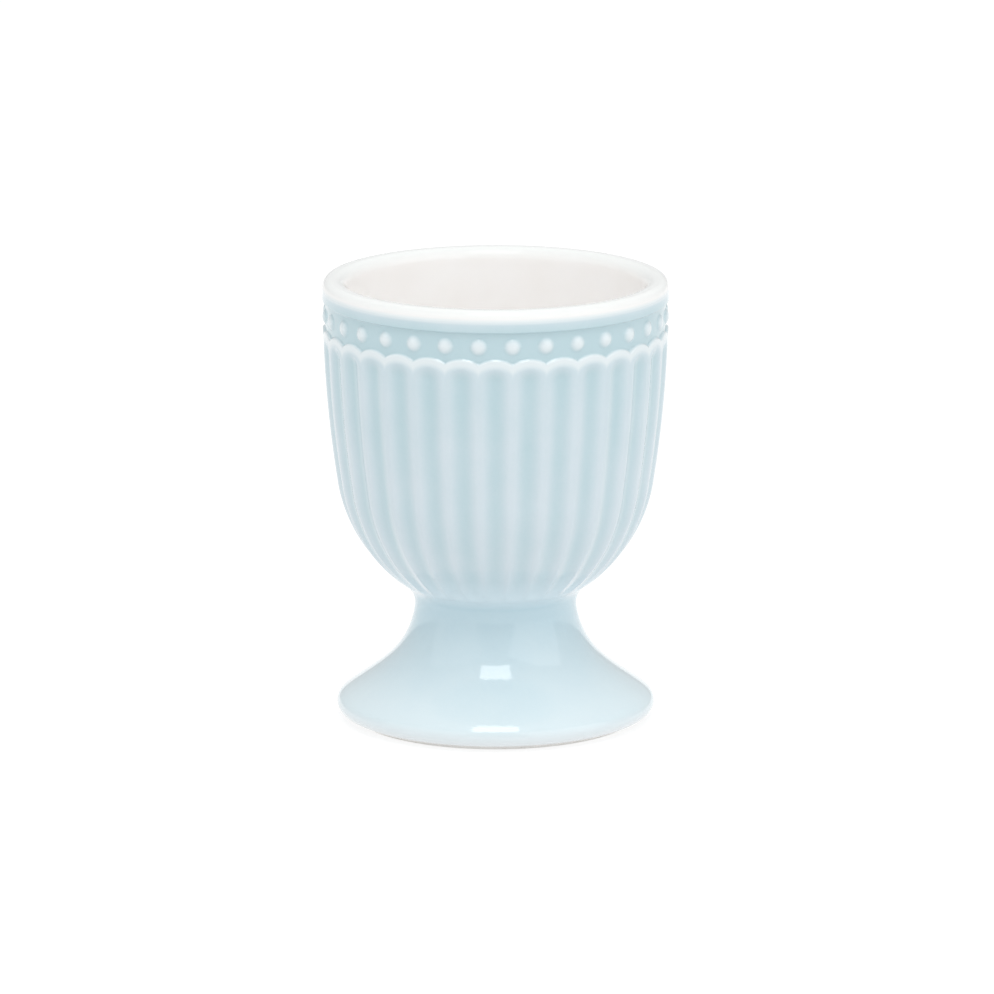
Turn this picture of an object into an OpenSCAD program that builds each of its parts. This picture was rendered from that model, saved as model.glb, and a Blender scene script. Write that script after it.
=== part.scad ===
// Egg cup in glazed stoneware: a round fluted bowl with a scalloped, beaded border, on a flared foot.
// The foot ring rests on z = 0 and the bowl turns about the z axis. A flute faces the front.
// Sizes are of the finished surface. Where a coat of glaze is a node, the clay lies one coat below it.

/* [Bowl] */
// height of the whole cup, foot ring to lip
cup_h = 65; // [64.6:0.1:65.6]
// radius of the round lower bowl
round_r = 23.23; // [23:0.01:23.4]
// radius of the long arc that draws the upper wall
wall_r = 170.26; // [150:0.02:190]
// angle below the centre's level at which the round bowl runs into the wall
wall_a = 8.951; // [8.5:0.001:9.2]
// thickness of the round bowl's wall
bowl_wall = 3.43; // [3.2:0.01:3.7]
// thickness of the bowl's floor
floor_wall = 4.61; // [4.3:0.01:5]
// radius of the long arc that draws the hollow's wall
cavity_wall_r = 130; // [120:1:140]
// angle below the hollow's centre at which its floor runs into its wall
cavity_wall_a = 10.5; // [10:0.1:11]

/* [Lip] */
// outer rounding of the lip
lip_out_r = 1.15; // [1:0.05:1.3]
// inner rounding of the lip
lip_in_r = 1.7; // [1.4:0.05:1.8]
// depth below the lip of the line where the white lining ends
lining_drop = 1.55; // [1.4:0.05:1.8]

/* [Flutes] */
// flutes around the bowl, with as many scallops and beads
flute_count = 32; // [28:4:32]
// radius of the hollow of a flute
flute_r = 2.8; // [2.6:0.1:3]
// depth of a flute on the wall
flute_depth = 0.5; // [0.4:0.05:0.55]
// how far a flute's path is drawn out of the round bowl, so that it fades towards the neck
flute_lift = 1.2; // [1.1:0.05:1.3]
// depth below the lip of the middle of each flute's round top end
flute_drop = 10.3; // [10.1:0.1:10.5]
// angle below the bowl's centre at which the flutes end, nearly faded out, under the slip's corner
flute_end_a = 57; // [56:0.5:58]

/* [Border] */
// depth below the lip of the centre of each scallop's arch
arch_drop = 11.55; // [11.4:0.05:11.7]
// radius of a scallop's arch
arch_r = 4.5; // [4.4:0.05:4.6]
// depth of the sunk band above the scallops, at the beads
band_depth = 0.42; // [0.36:0.01:0.5]
// depth below the lip of the band's top edge
band_drop = 3.2; // [3:0.1:3.4]
// height of the band, down to its bottom hidden behind the scallops
band_h = 5.6; // [5.4:0.1:5.8]
// radius of the ball that forms a bead
bead_r = 1.7; // [1.6:0.05:1.8]
// height that a bead stands off the band's floor
bead_rise = 0.5; // [0.45:0.05:0.6]
// depth below the lip of the beads' centres
bead_drop = 5.2; // [5.1:0.05:5.3]

/* [Foot] */
// largest radius of the foot
foot_r = 23.05; // [22.8:0.05:23.4]
// radius of the waist
waist_r = 11.67; // [11.5:0.05:11.9]
// height of the waist
waist_z = 18; // [17.8:0.1:18.2]
// how far the waist lies below the level where the bowl is as wide as the waist
neck_drop = 0.83; // [0.7:0.01:1]
// radius of the hollow sweep below the waist, as a share of the drop from there to the foot's edge
sweep_share = 0.812; // [0.79:0.002:0.83]
// rounding of the foot's edge
foot_edge_r = 1.2; // [1.1:0.05:1.3]
// height of the middle of the foot's edge
edge_z = 2.3; // [2.2:0.05:2.4]
// how far the foot ring stands in from the foot's edge
ring_inset = 2.75; // [2.5:0.05:3]
// width of the foot ring
ring_w = 2.7; // [2.5:0.1:3]
// thickness of the foot's clay wall
foot_wall = 3.2; // [3:0.1:3.4]

/* [Joint and glaze] */
// thickness of the glaze coats
glaze = 0.3; // [0.25:0.05:0.35]
// thickness of the layer of slip between the foot and the bowl
slip = 0.4; // [0.3:0.05:0.5]
// radius of the slip's smoothed corner, outside the neck
slip_corner_r = 3.6; // [3.2:0.1:4]
// height up to which the glaze is wiped off the foot ring
wipe_z = 0.8; // [0.6:0.1:1.2]

/* [Hidden] */
// all cuts run past the surface by this much
over = 1;
// the smallest step, left where two smooth surfaces join, so that they don't meet in a sliver
ledge = 0.01;
// share of a rounding's radius at which straight edges end inside it
tuck_share = 0.998;
// share of the slip corner that is kept, so that it has no feather edge
corner_share = 0.9;
// share of a flute's pitch by which seams are turned off the pattern
seam_share = 0.37;
// the flutes are cut in this many passes
passes = 4;
arc_n = 96;
wall_n = 720;
ball_n = 40;

pitch = 360 / flute_count;
// heights of the border's parts
lining_z = cup_h - lining_drop;
band_top_z = cup_h - band_drop;
band_low_z = band_top_z - band_h;
bead_z = cup_h - bead_drop;
arch_z = cup_h - arch_drop;
flute_top_z = cup_h - flute_drop;
// the round bowl's centre, so that the bowl sits on the waist
round_z = waist_z + neck_drop + sqrt(round_r * round_r - waist_r * waist_r);
// the wall's long arc
join_z = round_z - round_r * sin(wall_a);
wall_x = (round_r - wall_r) * cos(wall_a);
wall_z = round_z + (wall_r - round_r) * sin(wall_a);
function wall_at(z) = wall_x + sqrt(wall_r * wall_r - (z - wall_z) * (z - wall_z));
band_r = wall_at(bead_z) - band_depth;
// the hollow's round floor and long arc
cavity_r = round_r - bowl_wall;
cavity_z = round_z - round_r + floor_wall + cavity_r;
cavity_x = (cavity_r - cavity_wall_r) * cos(cavity_wall_a);
cavity_wall_z = cavity_z + (cavity_wall_r - cavity_r) * sin(cavity_wall_a);
cavity_join_z = cavity_z - cavity_r * sin(cavity_wall_a);
function cavity_at(z) = cavity_x
    + sqrt(cavity_wall_r * cavity_wall_r - (z - cavity_wall_z) * (z - cavity_wall_z));
// centres of the lip's two roundings
lip_out_z = cup_h - lip_out_r;
lip_in_z = cup_h - lip_in_r;
lip_out_x = wall_at(lip_out_z) - lip_out_r;
lip_in_x = cavity_at(lip_in_z) + lip_in_r;
// flute paths along the round bowl and along the wall
join_path_r = round_r + flute_r - flute_depth;
low_path_r = join_path_r + flute_lift;
high_path_r = wall_r + flute_r - flute_depth;
high_end_a = asin((wall_z - flute_top_z) / high_path_r);
// centres of the balls that form the beads
bead_x = band_r + bead_rise - bead_r;
// the foot's outline: the skirt touches the sweep and the edge's rounding
sweep_r = (waist_z - edge_z) * sweep_share;
sweep_x = waist_r + sweep_r;
edge_x = foot_r - foot_edge_r;
skirt_a = atan2(sweep_x - edge_x, waist_z - edge_z)
    + acos((sweep_r + foot_edge_r) / norm([sweep_x - edge_x, waist_z - edge_z]));
sweep_end_a = 90 - skirt_a;
ring_out_r = foot_r - ring_inset;
ring_in_r = ring_out_r - ring_w;
// the underside runs from the foot ring to the edge's rounding
under_run = norm([edge_x - ring_out_r, edge_z]);
under_a = atan2(edge_z, edge_x - ring_out_r) - asin(foot_edge_r / under_run);
// the slip's smoothed corner touches the round bowl and the sweep
corner_span = norm([sweep_x, round_z - waist_z]);
corner_bowl = round_r + slip_corner_r;
corner_sweep = sweep_r - slip_corner_r;
corner_turn_a = acos((corner_bowl * corner_bowl + corner_span * corner_span - corner_sweep * corner_sweep)
    / (2 * corner_bowl * corner_span));
corner_ray_a = atan2(round_z - waist_z, sweep_x) + corner_turn_a;
corner_x = corner_bowl * cos(corner_ray_a);
corner_z = round_z - corner_bowl * sin(corner_ray_a);

// a full turn about the axis, its seam turned off the pattern
module turned() {
  rotate([0, 0, pitch * seam_share])
    rotate_extrude($fn = 2 * arc_n) children();
}

module around(first = 0) {
  for (i = [0:flute_count - 1])
    rotate([0, 0, (i + first) * pitch]) children();
}

// outer half section of the bowl, solid to the axis, up to the line where the white lining ends
module outer2d() {
  intersection() {
    translate([0, round_z]) circle(r = round_r, $fn = 2 * arc_n);
    square([2 * round_r, join_z]);
  }
  intersection() {
    translate([wall_x, wall_z]) circle(r = wall_r - ledge, $fn = wall_n);
    translate([0, join_z]) square([2 * round_r, lining_z - join_z]);
  }
}

// the hollow and the lip's inner rounding, with the surface set back by g
module cavity2d(g) {
  intersection() {
    translate([0, cavity_z]) circle(r = cavity_r + g, $fn = 2 * arc_n);
    square([2 * cavity_r, cavity_join_z]);
  }
  intersection() {
    translate([cavity_x, cavity_wall_z]) circle(r = cavity_wall_r + g, $fn = wall_n);
    translate([0, cavity_join_z]) square([2 * cavity_r, lip_in_z - cavity_join_z]);
  }
  difference() {
    translate([0, lip_in_z]) square([lip_in_x, lip_in_r + over]);
    translate([lip_in_x, lip_in_z]) circle(r = lip_in_r - g, $fn = arc_n);
  }
}

// the lip above the white lining's edge, solid to the axis, with the surface set back by g
module lip2d(g) {
  translate([0, lining_z]) square([lip_out_x + (lip_out_r - g) * tuck_share, lip_out_z - lining_z]);
  translate([0, lining_z]) square([lip_out_x, cup_h - g - lining_z]);
  intersection() {
    translate([lip_out_x, lip_out_z]) circle(r = lip_out_r - g, $fn = arc_n);
    translate([lip_out_x - over, lining_z]) square([over + lip_out_r, cup_h - lining_z]);
  }
}

// one flute's hollow: along the round bowl, along the wall, and a ball at the join and at the round end
module flute() {
  translate([-flute_lift * cos(wall_a), 0, round_z + flute_lift * sin(wall_a)])
    rotate([90, 0, 0]) rotate([0, 0, -flute_end_a])
    rotate_extrude(angle = flute_end_a - wall_a, $fn = 2 * arc_n)
    translate([low_path_r, 0]) circle(r = flute_r, $fn = ball_n);
  translate([wall_x, 0, wall_z]) rotate([90, 0, 0]) rotate([0, 0, -wall_a])
    rotate_extrude(angle = wall_a - high_end_a, $fn = wall_n)
    translate([high_path_r, 0]) circle(r = flute_r, $fn = ball_n);
  translate([join_path_r * cos(wall_a), 0, round_z - join_path_r * sin(wall_a)])
    sphere(r = flute_r + ledge, $fn = ball_n);
  translate([wall_x + high_path_r * cos(high_end_a), 0, flute_top_z])
    sphere(r = flute_r + ledge, $fn = ball_n);
}

// the solid body, its flutes cut in passes so that no two cutters of a pass touch
module fluted(pass) {
  difference() {
    if (pass == 0) turned() outer2d();
    else fluted(pass - 1);
    for (i = [pass:passes:flute_count - 1])
      rotate([0, 0, i * pitch]) flute();
  }
}

// the sunk band, less the arches that stand in it as scallops
module band() {
  difference() {
    turned() translate([band_r, band_low_z])
      square([over + wall_at(band_top_z) - band_r, band_top_z - band_low_z]);
    around() translate([band_r - over, 0, arch_z]) rotate([0, 90, 0])
      cylinder(r = arch_r, h = 4 * over, $fn = ball_n);
  }
}

module beads() {
  around(first = 1 / 2) translate([bead_x, 0, bead_z]) sphere(r = bead_r, $fn = ball_n);
}

// the moulded bowl, with flutes, scallops and beads in one piece
module bowl() {
  color("lightblue") union() {
    difference() {
      union() {
        fluted(passes - 1);
        turned() lip2d(glaze);
      }
      turned() cavity2d(glaze);
      band();
    }
    beads();
  }
}

// outer outline of the foot, with the surface set back by g
module foot_out2d(g) {
  edge_reach = (foot_edge_r - g) * tuck_share;
  reach = (sweep_r + g) * tuck_share;
  difference() {
    polygon([
      [0, 0],
      [ring_out_r, 0],
      [edge_x + edge_reach * sin(under_a), edge_z - edge_reach * cos(under_a)],
      [edge_x + edge_reach * sin(skirt_a), edge_z + edge_reach * cos(skirt_a)],
      [sweep_x - reach * cos(sweep_end_a), waist_z - reach * sin(sweep_end_a)],
      [sweep_x, waist_z - reach * sin(sweep_end_a)],
      [sweep_x, waist_z + slip_corner_r],
      [0, waist_z + slip_corner_r]
    ]);
    translate([sweep_x, waist_z]) circle(r = sweep_r + g, $fn = 2 * arc_n);
  }
  translate([edge_x, edge_z]) circle(r = foot_edge_r - g, $fn = arc_n);
}

// the hollow under the foot, with a coat of thickness g on its clay
module hollow2d(g) {
  reach = sweep_r + glaze + foot_wall + g;
  end_x = sweep_x - reach * cos(sweep_end_a);
  end_z = waist_z - reach * sin(sweep_end_a);
  difference() {
    polygon([
      [0, -over],
      [ring_in_r - g, -over],
      [ring_in_r - g, end_z - (ring_in_r - g - end_x) * tan(skirt_a)],
      [sweep_x - reach * tuck_share * cos(sweep_end_a), waist_z - reach * tuck_share * sin(sweep_end_a)],
      [sweep_x, waist_z - reach * tuck_share * sin(sweep_end_a)],
      [sweep_x, waist_z + slip_corner_r],
      [0, waist_z + slip_corner_r]
    ]);
    translate([sweep_x, waist_z]) circle(r = reach, $fn = 2 * arc_n);
  }
}

// section of a ball about the round bowl's centre, g outside the bowl
module round2d(g) {
  translate([0, round_z]) circle(r = round_r + g, $fn = 2 * arc_n);
}

module wiped2d() {
  translate([0, -over]) square([foot_r + over, wipe_z + over]);
}

// the filled corner between the round bowl and the sweep, with the surface set back by g
module corner2d(g) {
  inner = [waist_r - over, round_z - sqrt(round_r * round_r - waist_r * waist_r)];
  centre = [corner_x, corner_z];
  on_bowl = [round_r * cos(corner_ray_a), round_z - round_r * sin(corner_ray_a)];
  on_sweep = [sweep_x, waist_z] + (centre - [sweep_x, waist_z]) * sweep_r / corner_sweep;
  difference() {
    polygon([
      inner,
      inner + (on_sweep - inner) * corner_share,
      centre,
      inner + (on_bowl - inner) * corner_share
    ]);
    translate(centre) circle(r = slip_corner_r + g, $fn = 2 * arc_n);
  }
}

module foot2d() {
  difference() {
    foot_out2d(glaze);
    hollow2d(0);
    round2d(slip);
  }
}

// the hollow flared foot, its top cut to the shape of the bowl
module foot() {
  color("wheat") turned() foot2d();
}

// the layer of slip between foot and bowl, and the corner smoothed out of it
module neck_slip() {
  color("tan") turned() difference() {
    union() {
      corner2d(glaze);
      intersection() {
        foot_out2d(glaze);
        round2d(slip);
      }
    }
    hollow2d(0);
    foot2d();
    round2d(0);
  }
}

// the white lining, from the hollow's floor over the lip to its edge on the outside
module lining_glaze() {
  color("white") turned() difference() {
    union() {
      cavity2d(glaze);
      lip2d(0);
    }
    cavity2d(0);
    difference() {
      lip2d(glaze);
      cavity2d(glaze);
    }
  }
}

// the blue coat outside the foot and over the slip
module foot_glaze() {
  color("lightsteelblue") turned() difference() {
    union() {
      foot_out2d(0);
      corner2d(0);
    }
    foot_out2d(glaze);
    corner2d(glaze);
    round2d(0);
    wiped2d();
  }
}

// the coat inside the foot and on the underside of the bowl
module hollow_glaze() {
  color("powderblue") turned() difference() {
    hollow2d(0);
    round2d(0);
    difference() {
      hollow2d(glaze);
      round2d(glaze);
    }
    wiped2d();
  }
}

bowl();
foot();
neck_slip();
lining_glaze();
foot_glaze();
hollow_glaze();
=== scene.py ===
import math

import bpy
import numpy as np
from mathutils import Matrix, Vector


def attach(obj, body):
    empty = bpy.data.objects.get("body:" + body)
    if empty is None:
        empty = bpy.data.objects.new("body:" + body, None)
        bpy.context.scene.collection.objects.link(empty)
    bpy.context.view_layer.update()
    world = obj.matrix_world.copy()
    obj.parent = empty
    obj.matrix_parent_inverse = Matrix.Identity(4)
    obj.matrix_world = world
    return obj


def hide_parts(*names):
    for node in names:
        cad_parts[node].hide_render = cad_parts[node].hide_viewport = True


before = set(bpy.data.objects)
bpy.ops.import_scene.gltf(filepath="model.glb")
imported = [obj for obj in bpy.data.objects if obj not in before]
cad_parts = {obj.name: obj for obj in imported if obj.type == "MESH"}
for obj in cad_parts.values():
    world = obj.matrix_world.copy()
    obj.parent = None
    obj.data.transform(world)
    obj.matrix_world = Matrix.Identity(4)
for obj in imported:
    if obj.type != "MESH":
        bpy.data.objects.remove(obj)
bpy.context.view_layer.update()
mm = 0.001  # the shapes are worked out in millimetres, as the CAD model is, and stored in metres

# Sizes of the finished surface, the same as the CAD model's driving dimensions. Turns are in degrees.
bowl = {
    "height": 65, "roundR": 23.23, "wallR": 170.26, "wallTurn": 8.951,
    "wall": 3.43, "floor": 4.61, "cavityWallR": 130, "cavityTurn": 10.5,
    "ledge": 0.016,  # keeps the upper wall this far inside the CAD model's
}
lip = {"outR": 1.15, "inR": 1.7, "liningDrop": 1.55, "glaze": 0.3}
flute = {"count": 32, "r": 2.8, "depth": 0.5, "lift": 1.2, "drop": 10.3}
border = {
    "archDrop": 11.55, "archR": 4.5, "bandDepth": 0.42, "bandDrop": 3.2,
    "beadR": 1.7, "beadRise": 0.5, "beadDrop": 5.2,
}
foot = {
    "r": 23.05, "waistR": 11.67, "waistZ": 18, "neckDrop": 0.83, "sweepShare": 0.812, "edgeR": 1.2,
    "edgeZ": 2.3, "ringInset": 2.75, "cornerR": 3.6, "wipe": 0.8,
}

# Outline of the bowl: centres of its arcs in the half plane of radius and height
roundZ = foot["waistZ"] + foot["neckDrop"] + math.sqrt(bowl["roundR"] ** 2 - foot["waistR"] ** 2)
wallTurn = math.radians(bowl["wallTurn"])
joinZ = roundZ - bowl["roundR"] * math.sin(wallTurn)
wallX = (bowl["roundR"] - bowl["wallR"]) * math.cos(wallTurn)
wallZ = roundZ + (bowl["wallR"] - bowl["roundR"]) * math.sin(wallTurn)
cavityR = bowl["roundR"] - bowl["wall"]
cavityZ = roundZ - bowl["roundR"] + bowl["floor"] + cavityR
cavityTurn = math.radians(bowl["cavityTurn"])
cavityX = (cavityR - bowl["cavityWallR"]) * math.cos(cavityTurn)
cavityWallZ = cavityZ + (bowl["cavityWallR"] - cavityR) * math.sin(cavityTurn)
cavityJoinZ = cavityZ - cavityR * math.sin(cavityTurn)
liningZ = bowl["height"] - lip["liningDrop"]
bandTopZ = bowl["height"] - border["bandDrop"]
beadZ = bowl["height"] - border["beadDrop"]
archZ = bowl["height"] - border["archDrop"]
crestZ = archZ + border["archR"]
fluteTopZ = bowl["height"] - flute["drop"]


def wallAt(z):  # radius of the outside of the upper wall
    return wallX + np.sqrt((bowl["wallR"] - bowl["ledge"]) ** 2 - (z - wallZ) ** 2)


def cavityAt(z):  # radius of the inside of the upper wall
    return cavityX + np.sqrt(bowl["cavityWallR"] ** 2 - (z - cavityWallZ) ** 2)


bandR = float(wallAt(beadZ)) - border["bandDepth"]
lipOutZ = bowl["height"] - lip["outR"]
lipInZ = bowl["height"] - lip["inR"]
lipOutX = float(wallAt(lipOutZ)) - lip["outR"]
lipInX = float(cavityAt(lipInZ)) + lip["inR"]

# Outline of the foot: the skirt touches the sweep below the waist and the rounding of the edge
sweepR = (foot["waistZ"] - foot["edgeZ"]) * foot["sweepShare"]
sweepX = foot["waistR"] + sweepR
edgeX = foot["r"] - foot["edgeR"]
centreRun = math.hypot(sweepX - edgeX, foot["waistZ"] - foot["edgeZ"])
skirtTurn = math.degrees(
    math.atan2(sweepX - edgeX, foot["waistZ"] - foot["edgeZ"])
    + math.acos((sweepR + foot["edgeR"]) / centreRun))
skirtEnd = 90 - skirtTurn
ringOut = foot["r"] - foot["ringInset"]
underRun = math.hypot(edgeX - ringOut, foot["edgeZ"])
underTurn = math.degrees(math.atan2(foot["edgeZ"], edgeX - ringOut) - math.asin(foot["edgeR"] / underRun))

# The glaze runs softer over the skirt than the clay does: an eased curve leaves the sweep early, swells a
# little low down and turns over the nose of the edge, which keeps the foot's widest point
coatRun = {"sweepTurn": 45.5, "sweepPull": 3.8, "noseTurn": 34.75, "nosePull": 1.22, "noseR": 1.48}
noseX = foot["r"] - coatRun["noseR"]
noseRun = math.hypot(noseX - ringOut, foot["edgeZ"])
noseUnder = math.degrees(
    math.atan2(foot["edgeZ"], noseX - ringOut) - math.asin(coatRun["noseR"] / noseRun))

# The smoothed corner of the slip touches the round bowl and the sweep
cornerSpan = math.hypot(sweepX, roundZ - foot["waistZ"])
cornerBowl = bowl["roundR"] + foot["cornerR"]
cornerSweep = sweepR - foot["cornerR"]
cornerRay = math.atan2(roundZ - foot["waistZ"], sweepX) + math.acos(
    (cornerBowl ** 2 + cornerSpan ** 2 - cornerSweep ** 2) / (2 * cornerBowl * cornerSpan))
cornerX = cornerBowl * math.cos(cornerRay)
cornerZ = roundZ - cornerBowl * math.sin(cornerRay)
cornerTop = math.degrees(math.atan2(roundZ - cornerZ, -cornerX))
cornerLow = 180 + math.degrees(math.atan2(foot["waistZ"] - cornerZ, sweepX - cornerX))


def arc(x, z, r, start, end, count):  # points on a circle, its angles in degrees from straight outwards
    turn = np.radians(np.linspace(start, end, count))
    return np.column_stack([x + r * np.cos(turn), z + r * np.sin(turn)])


# A cubic curve from one point to another: at each end it faces a turn above straight outwards, held by a pull
def easedRun(start, startTurn, startPull, end, endTurn, endPull, count):
    startWay, endWay = (np.array([math.sin(math.radians(a)), -math.cos(math.radians(a))])
                        for a in (startTurn, endTurn))
    t = np.linspace(0, 1, count)[:, None]
    return ((1 - t) ** 3 * start + 3 * t * (1 - t) ** 2 * (start + startWay * startPull)
            + 3 * t * t * (1 - t) * (end - endWay * endPull) + t ** 3 * end)


cornerRows = {
    "gap": 0.02,  # distance of the added points from the corner
    "straight": 0.7,  # a corner is sharp where the cosine of its turn is below this
}
poleR = 1e-6  # a row with a smaller radius is a single point on the axis


# Adds points close to each sharp corner of a closed outline, so that the smooth shading stays flat up to it
def heldOutline(outline):
    gap, held = cornerRows["gap"], []
    for before, point, after in zip(np.roll(outline, 1, axis=0), outline, np.roll(outline, -1, axis=0)):
        way, onward = (point - before), (after - point)
        way, onward = way / np.hypot(*way), onward / np.hypot(*onward)
        sharp = way @ onward < cornerRows["straight"] and point[0] > gap
        held += [point - way * gap, point, point + onward * gap] if sharp else [point]
    return np.array(held)


def smoothStep(low, high, x):
    t = np.clip((x - low) / (high - low), 0, 1)
    return t * t * (3 - 2 * t)


def smoothMax(a, b, width):  # the larger of two surfaces, blended where they lie within a width
    share = np.clip(0.5 + 0.5 * (a - b) / width, 0, 1)
    return b + (a - b) * share + width * share * (1 - share)


# A surface of rows round the axis, each row given by its radius and height at every column.
# Rows run upwards on an outside and downwards on an inside, so that faces point out of the material.
def turnedSurface(name, radius, height, loop):
    rows, columns = radius.shape
    turn = np.linspace(0, 2 * math.pi, columns, endpoint=False)
    grid = np.stack([radius * np.sin(turn), -radius * np.cos(turn), height], axis=-1) * mm
    pole = radius.max(axis=1) < poleR
    starts = np.concatenate([[0], np.cumsum(np.where(pole, 1, columns))])
    index = starts[:rows, None] + np.where(pole[:, None], 0, np.arange(columns)[None, :])
    points = np.concatenate([grid[i, :1] if pole[i] else grid[i] for i in range(rows)])
    faces = []
    for low in range(rows if loop else rows - 1):
        high = (low + 1) % rows
        a, b = index[low], index[high]
        a2, b2 = np.roll(a, -1), np.roll(b, -1)
        if pole[low] and pole[high]:
            continue
        if pole[low]:
            faces += np.stack([a, b2, b], axis=1).tolist()
        elif pole[high]:
            faces += np.stack([a, a2, b], axis=1).tolist()
        else:
            faces += np.stack([a, a2, b2, b], axis=1).tolist()
    mesh = bpy.data.meshes.new(name)
    mesh.from_pydata(points.tolist(), [], faces)
    mesh.polygons.foreach_set("use_smooth", [True] * len(mesh.polygons))
    mesh.update()
    piece = bpy.data.objects.new(name, mesh)
    bpy.context.scene.collection.objects.link(piece)
    return piece, index


def storeAttribute(piece, name, index, values):  # one number per point, kept on the mesh for the material
    data = np.zeros(len(piece.data.vertices), np.float32)
    data[index.ravel()] = values.ravel()
    attribute = piece.data.attributes.new(name, "FLOAT", "POINT")
    attribute.data.foreach_set("value", data)


def finishPiece(piece, node, material):
    piece.data.materials.append(material)
    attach(piece, "root")
    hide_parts(node)
    print(piece.name, "faces", len(piece.data.polygons))


def turnedPiece(name, outline, node, material, columns=480):
    outline = heldOutline(np.array(outline))
    radius = np.repeat(outline[:, :1], columns, axis=1)
    height = np.repeat(outline[:, 1:], columns, axis=1)
    piece, _ = turnedSurface(name, radius, height, True)
    finishPiece(piece, node, material)


def toLinear(code):  # an sRGB hex colour as a linear one
    parts = [int(code[i:i + 2], 16) / 255 for i in (1, 3, 5)]
    return tuple(c / 12.92 if c <= 0.04045 else ((c + 0.055) / 1.055) ** 2.4 for c in parts) + (1,)


# Adds a node: properties by name, and inputs by name or number, each a value or another node's output
def addNode(tree, kind, inputs=None, **properties):
    node = tree.nodes.new(kind)
    for key, value in properties.items():
        setattr(node, key, value)
    for key, value in (inputs or {}).items():
        if isinstance(value, bpy.types.NodeSocket):
            tree.links.new(value, node.inputs[key])
        else:
            node.inputs[key].default_value = value
    return node


def newMaterial(name):
    material = bpy.data.materials.new(name)
    material.use_nodes = True
    tree = material.node_tree
    tree.nodes.clear()
    place = addNode(tree, "ShaderNodeTexCoord").outputs["Object"]
    return material, tree, place


def cloud(tree, place, sizeMm, detail=2.0, roughness=0.5):  # soft noise whose lumps are about sizeMm across
    return addNode(tree, "ShaderNodeTexNoise", {
        "Vector": place, "Scale": 1 / (sizeMm * mm), "Detail": detail, "Roughness": roughness,
    }).outputs["Fac"]


def maths(tree, operation, a, b, clamp=False):
    return addNode(tree, "ShaderNodeMath", {0: a, 1: b}, operation=operation, use_clamp=clamp).outputs[0]


def spread(tree, value, fromLow, fromHigh, toLow=0.0, toHigh=1.0):
    return addNode(tree, "ShaderNodeMapRange", {
        "Value": value, "From Min": fromLow, "From Max": fromHigh, "To Min": toLow, "To Max": toHigh,
    }).outputs["Result"]


mixInputs = (0, 6, 7)  # the mix node's sockets for the share and the two colours


def blendColours(tree, share, first, second):
    node = addNode(tree, "ShaderNodeMix", data_type="RGBA")
    for socket, value in zip((node.inputs[i] for i in mixInputs), (share, first, second)):
        if isinstance(value, bpy.types.NodeSocket):
            tree.links.new(value, socket)
        else:
            socket.default_value = value
    return node.outputs[2]


noiseSpan = (0.3, 0.7)  # the noise's values lie mostly between these


def heightOf(tree, place):
    return addNode(tree, "ShaderNodeSeparateXYZ", {0: place}).outputs["Z"]


def acrossHeights(tree, height, start, end):  # 0 at one height in millimetres and 1 at the other
    return spread(tree, height, start * mm, end * mm)


def unevenness(tree, place, coat):  # slow drift and fine grain of a coat's thickness
    drift = cloud(tree, place, coat["driftMm"])
    grain = cloud(tree, place, coat["grainMm"], coat["grainDetail"], coat["grainRough"])
    return maths(
        tree, "ADD", spread(tree, drift, *noiseSpan, -coat["drift"], coat["drift"]),
        spread(tree, grain, *noiseSpan, -coat["grain"], coat["grain"]))


glazeGloss = {
    "ior": 1.58, "coat": 0.3, "coatRough": 0.03, "smooth": 0.06, "rough": 0.10,
    "waveMm": 3.0, "waveDetail": 1.5, "pitMm": 0.35, "pitDetail": 1.0, "pitShare": 0.08,
    "bump": 0.25, "bumpMm": 0.03,
}


# The glassy coat that all glazes share: its colour is given, its surface is a little uneven from the kiln
def glazeShader(tree, place, colour, gloss):
    waves = cloud(tree, place, gloss["waveMm"], gloss["waveDetail"])
    pits = cloud(tree, place, gloss["pitMm"], gloss["pitDetail"])
    height = maths(tree, "ADD", waves, maths(tree, "MULTIPLY", pits, gloss["pitShare"]))
    bump = addNode(tree, "ShaderNodeBump", {
        "Height": height, "Strength": gloss["bump"], "Distance": gloss["bumpMm"] * mm})
    rough = spread(tree, waves, *noiseSpan, gloss["smooth"], gloss["rough"])
    shader = addNode(tree, "ShaderNodeBsdfPrincipled", {
        "Base Color": colour, "Roughness": rough, "Normal": bump.outputs["Normal"]})
    shader.inputs["IOR"].default_value = gloss["ior"]
    shader.inputs["Coat Weight"].default_value = gloss["coat"]
    shader.inputs["Coat Roughness"].default_value = gloss["coatRough"]
    addNode(tree, "ShaderNodeOutputMaterial", {"Surface": shader.outputs[0]})


# Colours of the blue coat on the bowl, and how much the flutes, the band and the upper wall add to its depth.
# Its pale colour is thin glaze on the raised edges together with a painted highlight.
bowlGlazeAndPaintedLight = {
    "pale": "#dfe8eb", "even": "#cfdce3", "deep": "#b7d0d7",
    "hollowShare": 0.75, "sunkShare": 0.7, "gatherShare": 0.3, "gatherLowZ": 38, "gatherTopZ": 56,
    "driftMm": 6.0, "drift": 0.10, "grainMm": 0.5, "grain": 0.05, "grainDetail": 3.0, "grainRough": 0.6,
}
# Paler blue painted round the join of bowl and foot, to lift the shade under the bowl there
paintedNeckLift = {"colour": "#d9e8ef", "footZ": 18.4, "topZ": 20, "bowlZ": 24}
# The foot's blue deepens towards the neck: pooled glaze there, and painted shade under the bowl
footGlazeAndPaintedLight = {
    "thinAndLit": "#d5e4e9", "thinZ": 4, "pooledAndShaded": "#bfd8e2", "pooledAndShadedZ": 17,
    # the edge colour: thin glaze over the foot's lower edge, and painted light lifting the shade on it
    "edge": "#e4ebee", "edgeZ": 3.2, "edgeLowZ": 1.6,
    "driftMm": 7.0, "drift": 0.08, "grainMm": 0.5, "grain": 0.04, "grainDetail": 3.0, "grainRough": 0.6,
}
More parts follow.
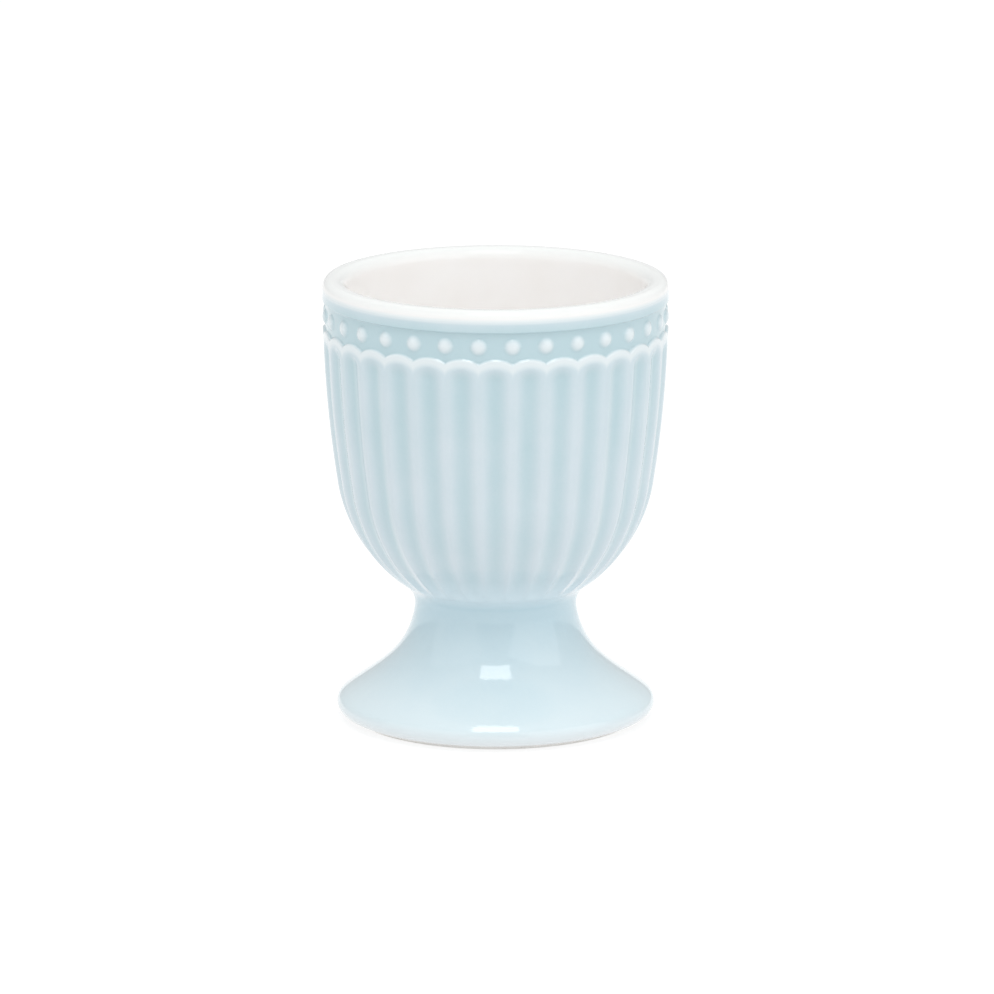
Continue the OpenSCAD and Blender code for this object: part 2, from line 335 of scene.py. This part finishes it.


# Celadon-like blue glaze, poured and fired on stoneware: it runs thin and pale off the raised edges, and
# pools thick and bluer in the hollows, which is what shows the relief. The pale on the raised edges is also a
# painted highlight.
def pooledGlaze():
    material, tree, place = newMaterial("firedBlueGlazeOnRelief")
    hollow, sunk, thinAndLit = (addNode(tree, "ShaderNodeAttribute", attribute_name=name).outputs["Fac"]
                          for name in ("hollow", "sunk", "thinAndLit"))
    height = heightOf(tree, place)
    gathered = acrossHeights(tree, height, bowlGlazeAndPaintedLight["gatherLowZ"], bowlGlazeAndPaintedLight["gatherTopZ"])
    depth = maths(tree, "MULTIPLY", gathered, bowlGlazeAndPaintedLight["gatherShare"])
    for share, part in (("hollowShare", hollow), ("sunkShare", sunk)):
        depth = maths(tree, "ADD", depth, maths(tree, "MULTIPLY", part, bowlGlazeAndPaintedLight[share]))
    depth = maths(tree, "ADD", depth, unevenness(tree, place, bowlGlazeAndPaintedLight), clamp=True)
    body = blendColours(tree, depth, toLinear(bowlGlazeAndPaintedLight["even"]), toLinear(bowlGlazeAndPaintedLight["deep"]))
    colour = blendColours(tree, thinAndLit, body, toLinear(bowlGlazeAndPaintedLight["pale"]))
    # painted light: paler towards the neck
    neckLiftShare = acrossHeights(tree, height, paintedNeckLift["bowlZ"], paintedNeckLift["topZ"])
    colour = blendColours(tree, neckLiftShare, colour, toLinear(paintedNeckLift["colour"]))
    glazeShader(tree, place, colour, glazeGloss)
    return material


# The same glaze on the smooth foot: it pools round the neck and runs thin on the skirt. The deepening towards
# the neck is also painted shade under the bowl
def smoothGlaze():
    material, tree, place = newMaterial("firedBlueGlazeOnFoot")
    height = heightOf(tree, place)
    pooledAndShaded = acrossHeights(tree, height, footGlazeAndPaintedLight["thinZ"], footGlazeAndPaintedLight["pooledAndShadedZ"])
    depth = maths(tree, "ADD", pooledAndShaded, unevenness(tree, place, footGlazeAndPaintedLight), clamp=True)
    colour = blendColours(tree, depth, toLinear(footGlazeAndPaintedLight["thinAndLit"]), toLinear(footGlazeAndPaintedLight["pooledAndShaded"]))
    # paler at the foot's lower edge: thin glaze, and painted light over its shade
    atEdge = acrossHeights(tree, height, footGlazeAndPaintedLight["edgeZ"], footGlazeAndPaintedLight["edgeLowZ"])
    colour = blendColours(tree, atEdge, colour, toLinear(footGlazeAndPaintedLight["edge"]))
    # painted light: paler towards the neck
    neckLiftShare = acrossHeights(tree, height, paintedNeckLift["footZ"], paintedNeckLift["topZ"])
    colour = blendColours(tree, neckLiftShare, colour, toLinear(paintedNeckLift["colour"]))
    glazeShader(tree, place, colour, glazeGloss)
    return material


# The inside is painted whiter to lift the shade in the cup, and the lip greyer to hold down the light it
# catches
liningGlazeAndPaintedLight = {
    "inside": "#fcfbfa", "drifting": "#faf8f6", "driftMm": 8.0, "lip": "#e9ebea",
    "litLipGreyDrop": 0.4,  # depth below the top at which the lip's painted grey is fully reached
    "edgeR": 24.2, "edgeRise": 0.5,  # the blue shows beyond this radius, up to this height above the edge
    "gloss": {**glazeGloss, "ior": 1.3, "coat": 0.0},
}


# White tin-type glaze inside the bowl and over the lip, where it runs thinner and a little cooler. The lip is
# also painted a shade greyer against the strong light on it, and the inside whiter against the shade in the
# cup; outside, the blue shows through its lowest edge
def whiteGlaze():
    material, tree, place = newMaterial("firedWhiteGlaze")
    drift = spread(tree, cloud(tree, place, liningGlazeAndPaintedLight["driftMm"]), *noiseSpan)
    inside = blendColours(
        tree, drift, toLinear(liningGlazeAndPaintedLight["inside"]), toLinear(liningGlazeAndPaintedLight["drifting"]))
    height = heightOf(tree, place)
    litLipGrey = acrossHeights(tree, height, lipInZ, bowl["height"] - liningGlazeAndPaintedLight["litLipGreyDrop"])
    colour = blendColours(tree, litLipGrey, inside, toLinear(liningGlazeAndPaintedLight["lip"]))
    level = addNode(tree, "ShaderNodeVectorMath", {0: place, 1: (1, 1, 0)}, operation="MULTIPLY").outputs[0]
    radius = addNode(tree, "ShaderNodeVectorMath", {0: level}, operation="LENGTH").outputs["Value"]
    outside = maths(tree, "GREATER_THAN", radius, liningGlazeAndPaintedLight["edgeR"] * mm)
    atEdge = acrossHeights(tree, height, liningZ + liningGlazeAndPaintedLight["edgeRise"], liningZ)
    atEdge = maths(tree, "MULTIPLY", atEdge, outside)
    colour = blendColours(tree, atEdge, colour, toLinear(bowlGlazeAndPaintedLight["pale"]))
    glazeShader(tree, place, colour, liningGlazeAndPaintedLight["gloss"])
    return material


clay = {
    "foot": ("#f7f6f3", "#efedea"), "slip": ("#f4f2ee", "#ebe8e3"), "grog": "#c8c3bc",
    "mottleMm": 1.6, "mottleDetail": 4.0, "mottleRough": 0.6,
    "grogMm": 0.3, "grogDetail": 1.0, "grogFrom": 0.66, "grogTo": 0.74, "grogShare": 0.6,
    "grainMm": 0.25, "grainDetail": 3.0, "bump": 0.5, "bumpMm": 0.04, "smooth": 0.7, "rough": 0.85,
}


# Bare fired stoneware: matt, nearly white, with fine darker grog in it
def bareClay(name, light, dark):
    material, tree, place = newMaterial(name)
    mottle = cloud(tree, place, clay["mottleMm"], clay["mottleDetail"], clay["mottleRough"])
    mottle = spread(tree, mottle, *noiseSpan)
    grog = cloud(tree, place, clay["grogMm"], clay["grogDetail"])
    grog = spread(tree, grog, clay["grogFrom"], clay["grogTo"], 0.0, clay["grogShare"])
    body = blendColours(tree, mottle, toLinear(light), toLinear(dark))
    colour = blendColours(tree, grog, body, toLinear(clay["grog"]))
    grain = cloud(tree, place, clay["grainMm"], clay["grainDetail"])
    bump = addNode(tree, "ShaderNodeBump", {
        "Height": grain, "Strength": clay["bump"], "Distance": clay["bumpMm"] * mm})
    shader = addNode(tree, "ShaderNodeBsdfPrincipled", {
        "Base Color": colour, "Roughness": spread(tree, mottle, 0, 1, clay["smooth"], clay["rough"]),
        "Normal": bump.outputs["Normal"]})
    addNode(tree, "ShaderNodeOutputMaterial", {"Surface": shader.outputs[0]})
    return material


bowlMesh = {
    "columnsPerFlute": 20,
    "hiddenTurns": (90, 80, 70),  # rows inside the neck, in degrees below the round bowl's centre
    "roundRows": (62, bowl["wallTurn"], 42),  # from one turn to another, and how many
    "wallRows": (  # the same with heights, closest together where the scallops and the beads are
        (joinZ + 0.7, fluteTopZ - 4.5, 20), (fluteTopZ - 3.9, fluteTopZ + 0.9, 12),
        (fluteTopZ + 1.1, crestZ + 0.3, 21), (crestZ + 0.45, beadZ + 1.3, 22),
        (bandTopZ - 0.35, bandTopZ + 0.35, 8), (bandTopZ + 0.5, liningZ - 0.02, 8), (liningZ, liningZ, 1)),
    "softFlute": 0.45, "softEdge": 0.16, "softBead": 0.14,  # widths over which the glaze rounds each edge
    "fadeEnd": 19.9, "fadeTop": 21.4,  # heights between which the flutes run out at the neck
    "archRim": (-1.5, -0.6), "archRimFade": 0.3,  # where the glaze runs thin inside a scallop's edge, and a highlight is painted there
    "rimFade": 0.55,  # height below the lining over which the blue fades out
    "leastCos": 0.05, "leastSpare": 1.01,  # keep a root and a quotient sound at the axis
    "coatRows": 5, "coatHeights": (56, 48), "coatTurn": -25,  # rows of the side under the lining
}


# Rows of the bowl's outside: base radius, base height and slope of the surface below the level
def outsideRows():
    slope = np.radians(np.concatenate([bowlMesh["hiddenTurns"], np.linspace(*bowlMesh["roundRows"])]))
    low = np.column_stack([bowl["roundR"] * np.cos(slope), roundZ - bowl["roundR"] * np.sin(slope), slope])
    low[0, 0] = 0
    heights = np.concatenate([np.linspace(*span) for span in bowlMesh["wallRows"]])
    high = np.column_stack([wallAt(heights), heights, np.arcsin((wallZ - heights) / bowl["wallR"])])
    return np.vstack([low, high])


# Each flute is a tube along the wall. Its depth below the base surface, y to the side of the flute's middle,
# is sqrt(r^2 - y^2) less the tube centre's distance out and less the base surface's own fall over y.
def reliefGrid(rows):
    columns = flute["count"] * bowlMesh["columnsPerFlute"]
    radius, height, slope = rows[:, :1], rows[:, 1:2], rows[:, 2:3]
    turn = np.linspace(0, 2 * math.pi, columns, endpoint=False)[None, :]
    half = math.pi / flute["count"]
    off = (turn + half) % (2 * half) - half
    y = radius * np.sin(off)
    above = np.maximum(height - fluteTopZ, 0)
    centreOut = flute["r"] - flute["depth"] + flute["lift"] * (1 - np.cos(np.maximum(slope - wallTurn, 0)))
    roundR = radius / np.maximum(np.cos(slope), bowlMesh["leastCos"])
    roundR = np.maximum(roundR, np.abs(y) * bowlMesh["leastSpare"])
    reach = np.sqrt(np.maximum(flute["r"] ** 2 - y ** 2 - above ** 2, 0))
    cut = reach - centreOut - (roundR - np.sqrt(roundR ** 2 - y ** 2))
    cut = smoothMax(cut, np.zeros_like(cut), bowlMesh["softFlute"])
    cut = cut * smoothStep(bowlMesh["fadeEnd"], bowlMesh["fadeTop"], height)
    # the band is sunk outside the arches and below its own top edge
    soft = bowlMesh["softEdge"]
    fromArch = np.hypot(y, height - archZ) - border["archR"]
    sunk = smoothStep(-soft, soft, fromArch) * smoothStep(bandTopZ + soft, bandTopZ - soft, height)
    sunk = np.where(height > archZ, sunk, 0)
    outR = radius - cut * np.cos(slope) - np.where(height > archZ, radius - bandR, 0) * sunk
    outZ = height + cut * np.sin(slope)
    # the beads are balls half a flute aside, standing out of the band's floor
    side = bandR * np.sin(np.abs(off) - half)
    away = np.sqrt(side ** 2 + (height - beadZ) ** 2)
    ball = bandR + border["beadRise"] - border["beadR"]
    ball = ball + np.sqrt(np.maximum(border["beadR"] ** 2 - away ** 2, 0))
    near = (away < border["beadR"]) & (height > crestZ)
    outR = np.where(near, smoothMax(outR, ball, bowlMesh["softBead"]), outR)
    # bead tops are painted pale: thin glaze, and a painted highlight
    bead = np.where(near, np.clip((outR - bandR) / border["beadRise"], 0, 1), 0)
    hollow = np.clip(cut / flute["depth"], 0, 1)
    fade = bowlMesh["archRimFade"]
    rimOfArch = smoothStep(*bowlMesh["archRim"], fromArch) * (1 - sunk) * (1 - hollow)
    rimOfArch = rimOfArch * smoothStep(fade, -fade, height - crestZ - fade)
    rimOfArch = np.where(height > fluteTopZ, rimOfArch, 0)
    # above the band the blue grows evenly paler towards the white of the lip
    fromLining = (liningZ - height) / (liningZ - bandTopZ)
    sunk = np.where(height > bandTopZ, np.maximum(sunk, fromLining), sunk)
    # pale share: thin glaze and a painted highlight on the bead tops, the scallop rims and the strip under
    # the lip
    thinAndLit = np.maximum(np.maximum(bead, rimOfArch), smoothStep(liningZ - bowlMesh["rimFade"], liningZ, height))
    return outR, outZ, hollow, sunk * (1 - bead), thinAndLit


def makeBowl():
    outR, outZ, hollow, sunk, thinAndLit = reliefGrid(outsideRows())
    coat = lip["glaze"]
    count = bowlMesh["coatRows"]
    inside = np.vstack([
        [[lipOutX + lip["outR"] - coat, liningZ]],
        arc(lipOutX, lipOutZ, lip["outR"] - coat, 0, 90, count),
        arc(lipInX, lipInZ, lip["inR"] - coat, 90, 180, count),
        [[float(cavityAt(z)) + coat, z] for z in (*bowlMesh["coatHeights"], cavityJoinZ)],
        arc(0, cavityZ, cavityR + coat, bowlMesh["coatTurn"], -90, count)])
    inside[-1, 0] = 0
    columns = outR.shape[1]
    inR = np.repeat(inside[:, :1], columns, axis=1)
    inZ = np.repeat(inside[:, 1:], columns, axis=1)
    piece, index = turnedSurface("flutedBowl", np.vstack([outR, inR]), np.vstack([outZ, inZ]), False)
    plain = np.zeros_like(inR)
    for name, values in (("hollow", hollow), ("sunk", sunk), ("thinAndLit", thinAndLit)):
        storeAttribute(piece, name, index, np.vstack([values, plain]))
    finishPiece(piece, "bowl", pooledGlaze())


liningMesh = {
    "outRows": 16, "inRows": 20, "wallRows": 30, "floorRows": 36,
    "backFloorRows": 12, "backWallStep": 5, "backLipRows": 6,
    "belowLip": 0.6, "pastJoin": 2,  # the wall's and the floor's first rows lie this far past the joins
}


# The lining runs from its outer edge up over the lip and down to the floor, then back along the clay
def makeLining():
    coat, rows = lip["glaze"], liningMesh
    wall = np.linspace(lipInZ - rows["belowLip"], cavityJoinZ, rows["wallRows"])
    backWall = wall[::-rows["backWallStep"]]
    floorTurn = -bowl["cavityTurn"] - rows["pastJoin"]
    outer = np.vstack([
        [[float(wallAt(liningZ)), liningZ]],
        arc(lipOutX, lipOutZ, lip["outR"], 0, 90, rows["outRows"]),
        arc(lipInX, lipInZ, lip["inR"], 90, 180, rows["inRows"]),
        np.column_stack([cavityAt(wall), wall]),
        arc(0, cavityZ, cavityR, floorTurn, -90, rows["floorRows"])])
    outer[-1, 0] = 0
    back = np.vstack([
        arc(0, cavityZ, cavityR + coat, -90, floorTurn, rows["backFloorRows"]),
        np.column_stack([cavityAt(backWall) + coat, backWall]),
        arc(lipInX, lipInZ, lip["inR"] - coat, 180, 90, rows["backLipRows"]),
        arc(lipOutX, lipOutZ, lip["outR"] - coat, 90, 0, rows["backLipRows"]),
        [[lipOutX + lip["outR"] - coat, liningZ]]])
    back[0, 0] = 0
    turnedPiece("whiteLining", np.vstack([outer, back]), "lining_glaze", whiteGlaze())


footMesh = {
    "noseRows": 24, "skirtRows": 44, "sweepRows": 60, "cornerRows": 24,
    "backCornerRows": 8, "backSweepRows": 14, "backEdgeRows": 8,
}


# The coat of the foot runs from the wiped ring up the skirt, sweep and corner to the bowl, and back inside
def makeFootGlaze():
    coat, rows = lip["glaze"], footMesh
    underRise = math.tan(math.radians(noseUnder))
    backEdge = foot["edgeR"] - coat
    backTurn = math.radians(underTurn)
    backFoot = [edgeX + backEdge * math.sin(backTurn), foot["edgeZ"] - backEdge * math.cos(backTurn)]
    backRise = backFoot[1] / (backFoot[0] - ringOut)
    meet = math.degrees(math.acos(
        ((foot["cornerR"] + coat) ** 2 + cornerBowl ** 2 - bowl["roundR"] ** 2)
        / (2 * (foot["cornerR"] + coat) * cornerBowl)))
    nose = arc(
        noseX, foot["edgeZ"], coatRun["noseR"], noseUnder - 90, coatRun["noseTurn"], rows["noseRows"])
    sweep = arc(sweepX, foot["waistZ"], sweepR, 180 + coatRun["sweepTurn"], cornerLow, rows["sweepRows"])
    skirt = easedRun(
        sweep[0], coatRun["sweepTurn"], coatRun["sweepPull"],
        nose[-1], coatRun["noseTurn"], coatRun["nosePull"], rows["skirtRows"])
    outer = np.vstack([
        [[ringOut + foot["wipe"] / underRise, foot["wipe"]]],
        nose, skirt[-2:0:-1], sweep,
        arc(cornerX, cornerZ, foot["cornerR"], cornerLow, cornerTop, rows["cornerRows"])[1:]])
    back = np.vstack([
        arc(cornerX, cornerZ, foot["cornerR"] + coat, cornerTop + meet, cornerLow, rows["backCornerRows"]),
        arc(sweepX, foot["waistZ"], sweepR + coat, cornerLow, 180 + skirtEnd, rows["backSweepRows"])[1:],
        arc(edgeX, foot["edgeZ"], backEdge, skirtEnd, underTurn - 90, rows["backEdgeRows"]),
        [[ringOut + foot["wipe"] / backRise, foot["wipe"]]]])
    turnedPiece("footGlaze", np.vstack([outer, back]), "foot_glaze", smoothGlaze())


def paintCadNode(name, material):
    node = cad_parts[name]
    node.data.materials.clear()
    node.data.materials.append(material)


makeBowl()
makeLining()
makeFootGlaze()
paintCadNode("foot", bareClay("bareFiredStoneware", *clay["foot"]))
paintCadNode("neck_slip", bareClay("firedSlip", *clay["slip"]))
paintCadNode("hollow_glaze", smoothGlaze())
print("pieces made")

# Stage: a white floor that fills the view, one slanted window-shaped softbox over the front of the cup,
# and two broad side boxes. Lengths are in metres here, but for the gap under the foot ring. The floor's two
# values are for light that bounces off it, and for what the camera and the glaze see of it.
stage = {
    "floorHalf": 4.0, "floorGapMm": 0.02, "floor": (0.6, 0.3), "floorGlow": (0.3, 0.76),
    "skyLow": 0.62, "skyHigh": 0.96,
    "camera": {
        "away": 1.2, "aimZ": 0.0325, "rise": 12.9, "lens": 299.7, "sensor": 36, "shiftX": 0.0014,
    },
    "window": {
        "at": (0, -0.22, 0.745), "towards": (0, 0.789, -0.614), "size": (0.30, 0.52), "radiance": 3.0,
    },
    "side": {
        "away": 0.9, "rise": 22, "turn": 57, "size": (1.12, 0.9), "radianceLeft": 0.34, "radianceRight": 0.58,
    },
}


def makeFloor():
    half = stage["floorHalf"]
    mesh = bpy.data.meshes.new("floor")
    low = -stage["floorGapMm"] * mm
    corners = [(-half, -half, low), (half, -half, low), (half, half, low), (-half, half, low)]
    mesh.from_pydata(corners, [], [(0, 1, 2, 3)])
    floor = bpy.data.objects.new("floor", mesh)
    bpy.context.scene.collection.objects.link(floor)
    material, tree, _ = newMaterial("whiteStudioFloor")
    path = addNode(tree, "ShaderNodeLightPath")
    seen = maths(tree, "MAXIMUM", path.outputs["Is Camera Ray"], path.outputs["Is Glossy Ray"])
    seen = maths(tree, "MAXIMUM", seen, path.outputs["Is Transmission Ray"])
    white = spread(tree, seen, 0, 1, *stage["floor"])
    diffuse = addNode(tree, "ShaderNodeBsdfDiffuse", {"Color": white})
    lift = addNode(tree, "ShaderNodeEmission", {
        "Color": (1, 1, 1, 1), "Strength": spread(tree, seen, 0, 1, *stage["floorGlow"])})
    both = addNode(tree, "ShaderNodeAddShader", {0: diffuse.outputs[0], 1: lift.outputs[0]})
    addNode(tree, "ShaderNodeOutputMaterial", {"Surface": both.outputs[0]})
    mesh.materials.append(material)


def makeSky():
    world = bpy.data.worlds.new("whiteStudio")
    bpy.context.scene.world = world
    world.use_nodes = True
    tree = world.node_tree
    tree.nodes.clear()
    upwards = addNode(tree, "ShaderNodeTexCoord").outputs["Generated"]
    upwards = addNode(tree, "ShaderNodeSeparateXYZ", {0: upwards}).outputs["Z"]
    strength = spread(tree, upwards, 0, 1, stage["skyLow"], stage["skyHigh"])
    sky = addNode(tree, "ShaderNodeBackground", {"Color": (1, 1, 1, 1), "Strength": strength})
    addNode(tree, "ShaderNodeOutputWorld", {"Surface": sky.outputs[0]})


def facing(turn, rise):  # direction to the right of the front by a turn, and above the level, in degrees
    turn, rise = math.radians(turn), math.radians(rise)
    return Vector((math.sin(turn) * math.cos(rise), -math.cos(turn) * math.cos(rise), math.sin(rise)))


def putAimed(name, data, at, towards):  # puts a lamp or a camera in the scene
    thing = bpy.data.objects.new(name, data)
    thing.location = at
    thing.rotation_mode = "QUATERNION"
    thing.rotation_quaternion = Vector(towards).to_track_quat("-Z", "Y")
    bpy.context.scene.collection.objects.link(thing)
    return thing


def addSoftbox(name, at, towards, size, radiance):
    light = bpy.data.lights.new(name, "AREA")
    light.shape = "RECTANGLE"
    light.size, light.size_y = size
    light.energy = radiance * math.pi * size[0] * size[1]
    putAimed(name, light, at, towards)


def makeLights():
    window, side = stage["window"], stage["side"]
    addSoftbox("window", window["at"], window["towards"], window["size"], window["radiance"])
    for sign, hand in ((-1, "Left"), (1, "Right")):
        way = facing(side["turn"] * sign, side["rise"])
        addSoftbox("side" + hand, way * side["away"], -way, side["size"], side["radiance" + hand])


def makeCamera():
    view = stage["camera"]
    data = bpy.data.cameras.new("camera")
    data.sensor_width = view["sensor"]
    data.lens = view["lens"]
    data.shift_x = view["shiftX"]
    back = facing(0, view["rise"])
    bpy.context.scene.camera = putAimed(
        "camera", data, Vector((0, 0, view["aimZ"])) + back * view["away"], -back)


makeFloor()
makeSky()
makeLights()
makeCamera()
bpy.context.scene.view_settings.view_transform = "Standard"
print("stage made")
